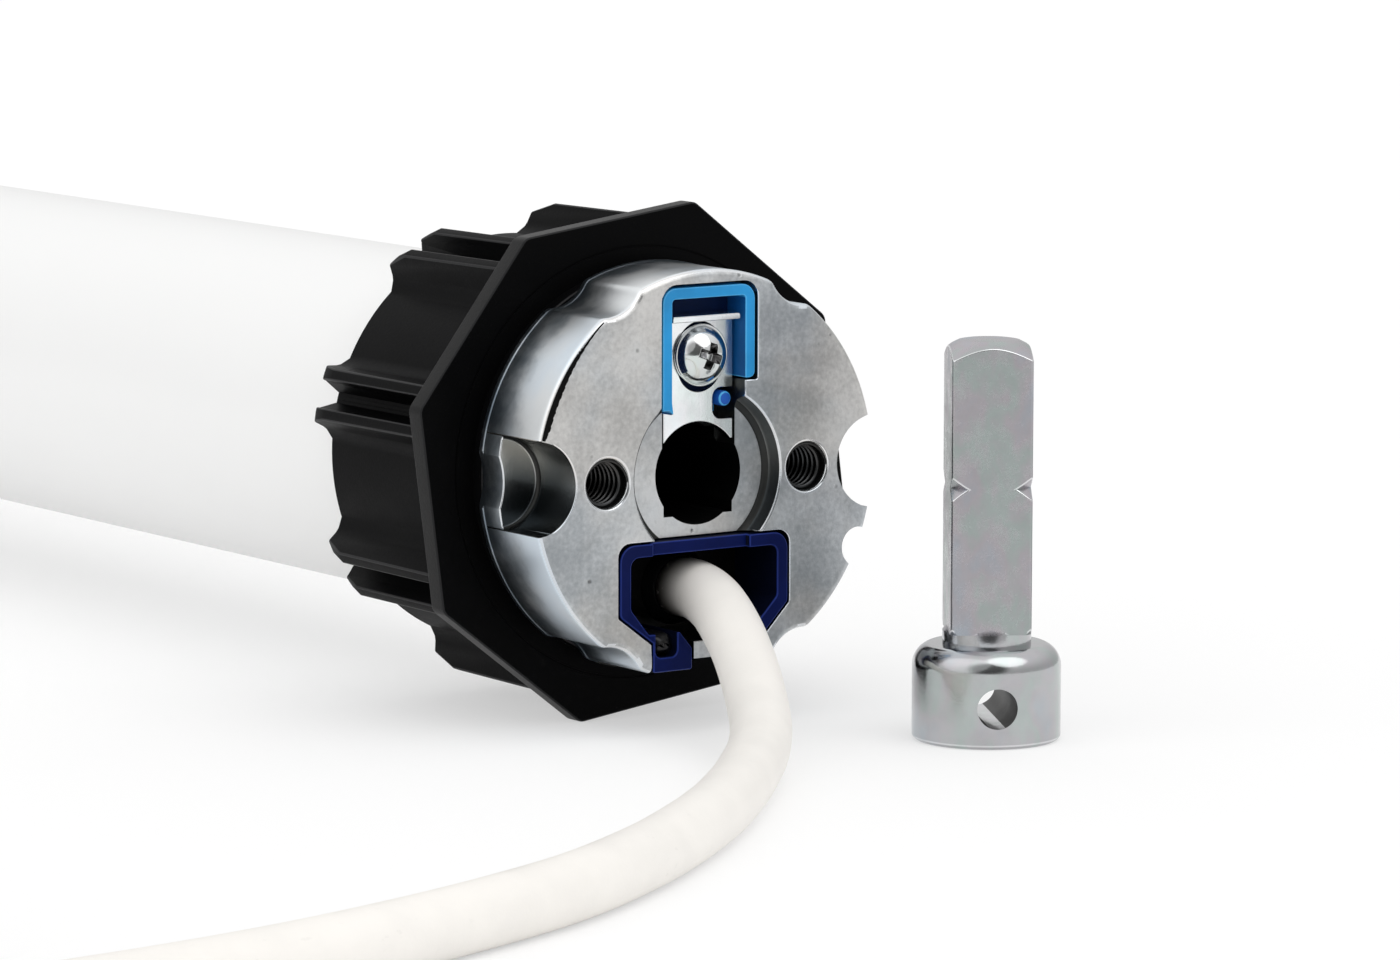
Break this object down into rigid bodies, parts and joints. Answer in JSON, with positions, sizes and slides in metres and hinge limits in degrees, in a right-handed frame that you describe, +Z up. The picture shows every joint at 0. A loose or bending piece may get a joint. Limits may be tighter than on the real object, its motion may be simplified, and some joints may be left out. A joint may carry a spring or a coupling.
{
  "type": "tubular roller blind motor",
  "caption": "Tubular roller blind motor: white tube, octagonal idler crown, cast head with square stud socket and sprung lock, cable, drive wheel and loose mounting stud",
  "frame": {"origin": "On the motor's axis, in the plane of the head's front face, midway between the two tapped holes", "axes": "+Y runs along the tube away from the head, +X to the right and +Z up as seen from the front of the head"},
  "size_m": [0.3025, 0.6396, 0.0646],
  "materials": {
    "zinc": "satin zinc die-casting",
    "black_plastic": "moulded, matte",
    "white_tube": "satin powder coat",
    "light_blue": "moulded, satin",
    "dark_blue": "moulded, satin",
    "zinc_plate": "bright zinc plated",
    "plated_screw": "bright zinc plated",
    "cable_sheath": "smooth, matte",
    "copper": "enamelled winding wire",
    "contact_brass": "plated",
    "grey_plastic": "moulded",
    "board_green": "solder mask",
    "part_blue": "moulded",
    "part_yellow": "taped winding",
    "wire_red": "insulation",
    "alloy": "die-cast",
    "steel": "ground",
    "lamination": "stacked sheet",
    "sinter": "sintered",
    "lining": "friction lining",
    "bronze": "sintered bronze",
    "core_colours": "coloured core insulation",
    "seal_rubber": "smooth"
  },
  "bodies": {
    "motor": {"head_casting": "zinc", "head_seal": "seal_rubber", "head_screws": "plated_screw", "release_clip": "light_blue", "clip_screw": "plated_screw", "cable_insert": "dark_blue", "insert_latch": "black_plastic", "cable_plug": "black_plastic", "plug_contacts": "contact_brass", "contact_socket": "grey_plastic", "motor_tube": "white_tube", "electronics_carrier": "grey_plastic", "circuit_board": "board_green", "board_relays": "part_blue", "board_transformer": "part_yellow", "receiver_module": "board_green", "antenna_wire": "wire_red", "capacitor_holder": "grey_plastic", "motor_capacitor": "alloy", "motor_wires": "wire_red", "front_end_shield": "alloy", "front_bearing": "steel", "stator_core": "lamination", "stator_windings": "copper", "rear_bearing": "steel", "rear_end_shield": "alloy", "brake_housing": "alloy", "brake_spring": "steel", "brake_lining": "lining", "gearbox_front_plate": "steel", "gearbox_ring": "sinter", "gearbox_end_cap": "grey_plastic", "output_bush": "bronze", "gearbox_screws": "plated_screw", "cable_lead": "cable_sheath", "cable_coil": "cable_sheath", "cable_tail": "cable_sheath", "cable_cores": "core_colours"},
    "crown": {"crown_ring": "black_plastic"},
    "lock_plate": {"lock_plate": "zinc_plate"},
    "rotor": {"rotor_core": "lamination", "rotor_shaft": "steel", "brake_disc": "lining", "sun_gear": "steel"},
    "brake_plate": {"brake_plate": "steel"},
    "carrier_1": {"carrier_1": "sinter"},
    "carrier_2": {"carrier_2": "sinter"},
    "output": {"output_carrier": "steel", "drive_wheel": "black_plastic", "drive_screw": "plated_screw"},
    "stud": {"mounting_stud": "zinc_plate"},
    "planet_1a": {"planet_1a": "sinter"},
    "planet_1b": {"planet_1b": "sinter"},
    "planet_1c": {"planet_1c": "sinter"},
    "planet_2a": {"planet_2a": "sinter"},
    "planet_2b": {"planet_2b": "sinter"},
    "planet_2c": {"planet_2c": "sinter"},
    "planet_3a": {"planet_3a": "sinter"},
    "planet_3b": {"planet_3b": "sinter"},
    "planet_3c": {"planet_3c": "sinter"}
  },
  "joints": [
    {"name": "crown_spin", "type": "hinge", "parent": "motor", "child": "crown", "pos_m": [0, 0.03, 0], "axis": [0, 1, 0], "continuous": true},
    {"name": "rotor_spin", "type": "hinge", "parent": "motor", "child": "rotor", "pos_m": [0, 0.33, 0], "axis": [0, 1, 0], "continuous": true},
    {"name": "carrier_1_spin", "type": "hinge", "parent": "motor", "child": "carrier_1", "pos_m": [0, 0.43, 0], "axis": [0, 1, 0], "continuous": true},
    {"name": "carrier_2_spin", "type": "hinge", "parent": "motor", "child": "carrier_2", "pos_m": [0, 0.445, 0], "axis": [0, 1, 0], "continuous": true},
    {"name": "output_spin", "type": "hinge", "parent": "motor", "child": "output", "pos_m": [0, 0.49, 0], "axis": [0, 1, 0], "continuous": true},
    {"name": "plate_release", "type": "slide", "parent": "motor", "child": "lock_plate", "axis": [0, 0, 1], "range_m": [0, 0.0015], "stiffness_N_per_m": 400, "springref_m": -0.001},
    {"name": "brake_release", "type": "slide", "parent": "motor", "child": "brake_plate", "axis": [0, -1, 0], "range_m": [0, 0.0004], "stiffness_N_per_m": 2000, "springref_m": -0.001},
    {"name": "stud_lift", "type": "slide", "parent": "motor", "child": "stud", "axis": [0, 0, 1], "range_m": [0, 0.06]},
    {"name": "planet_1a_spin", "type": "hinge", "parent": "carrier_1", "child": "planet_1a", "pos_m": [0.0108, 0.45, 0], "axis": [0, 1, 0], "continuous": true},
    {"name": "planet_1b_spin", "type": "hinge", "parent": "carrier_1", "child": "planet_1b", "pos_m": [-0.0054, 0.45, 0.00935], "axis": [0, 1, 0], "continuous": true},
    {"name": "planet_1c_spin", "type": "hinge", "parent": "carrier_1", "child": "planet_1c", "pos_m": [-0.0054, 0.45, -0.00935], "axis": [0, 1, 0], "continuous": true},
    {"name": "planet_2a_spin", "type": "hinge", "parent": "carrier_2", "child": "planet_2a", "pos_m": [0.0108, 0.45, 0], "axis": [0, 1, 0], "continuous": true},
    {"name": "planet_2b_spin", "type": "hinge", "parent": "carrier_2", "child": "planet_2b", "pos_m": [-0.0054, 0.45, 0.00935], "axis": [0, 1, 0], "continuous": true},
    {"name": "planet_2c_spin", "type": "hinge", "parent": "carrier_2", "child": "planet_2c", "pos_m": [-0.0054, 0.45, -0.00935], "axis": [0, 1, 0], "continuous": true},
    {"name": "planet_3a_spin", "type": "hinge", "parent": "output", "child": "planet_3a", "pos_m": [0.0108, 0.45, 0], "axis": [0, 1, 0], "continuous": true},
    {"name": "planet_3b_spin", "type": "hinge", "parent": "output", "child": "planet_3b", "pos_m": [-0.0054, 0.45, 0.00935], "axis": [0, 1, 0], "continuous": true},
    {"name": "planet_3c_spin", "type": "hinge", "parent": "output", "child": "planet_3c", "pos_m": [-0.0054, 0.45, -0.00935], "axis": [0, 1, 0], "continuous": true}
  ],
  "couplings": [
    {"joint": "carrier_1_spin", "follows": "rotor_spin", "ratio": 0.1875},
    {"joint": "carrier_2_spin", "follows": "rotor_spin", "ratio": 0.035156},
    {"joint": "output_spin", "follows": "rotor_spin", "ratio": 0.0065918},
    {"joint": "planet_1a_spin", "follows": "rotor_spin", "ratio": -0.4875},
    {"joint": "planet_1b_spin", "follows": "rotor_spin", "ratio": -0.4875},
    {"joint": "planet_1c_spin", "follows": "rotor_spin", "ratio": -0.4875},
    {"joint": "planet_2a_spin", "follows": "rotor_spin", "ratio": -0.091406},
    {"joint": "planet_2b_spin", "follows": "rotor_spin", "ratio": -0.091406},
    {"joint": "planet_2c_spin", "follows": "rotor_spin", "ratio": -0.091406},
    {"joint": "planet_3a_spin", "follows": "rotor_spin", "ratio": -0.017139},
    {"joint": "planet_3b_spin", "follows": "rotor_spin", "ratio": -0.017139},
    {"joint": "planet_3c_spin", "follows": "rotor_spin", "ratio": -0.017139}
  ]
}
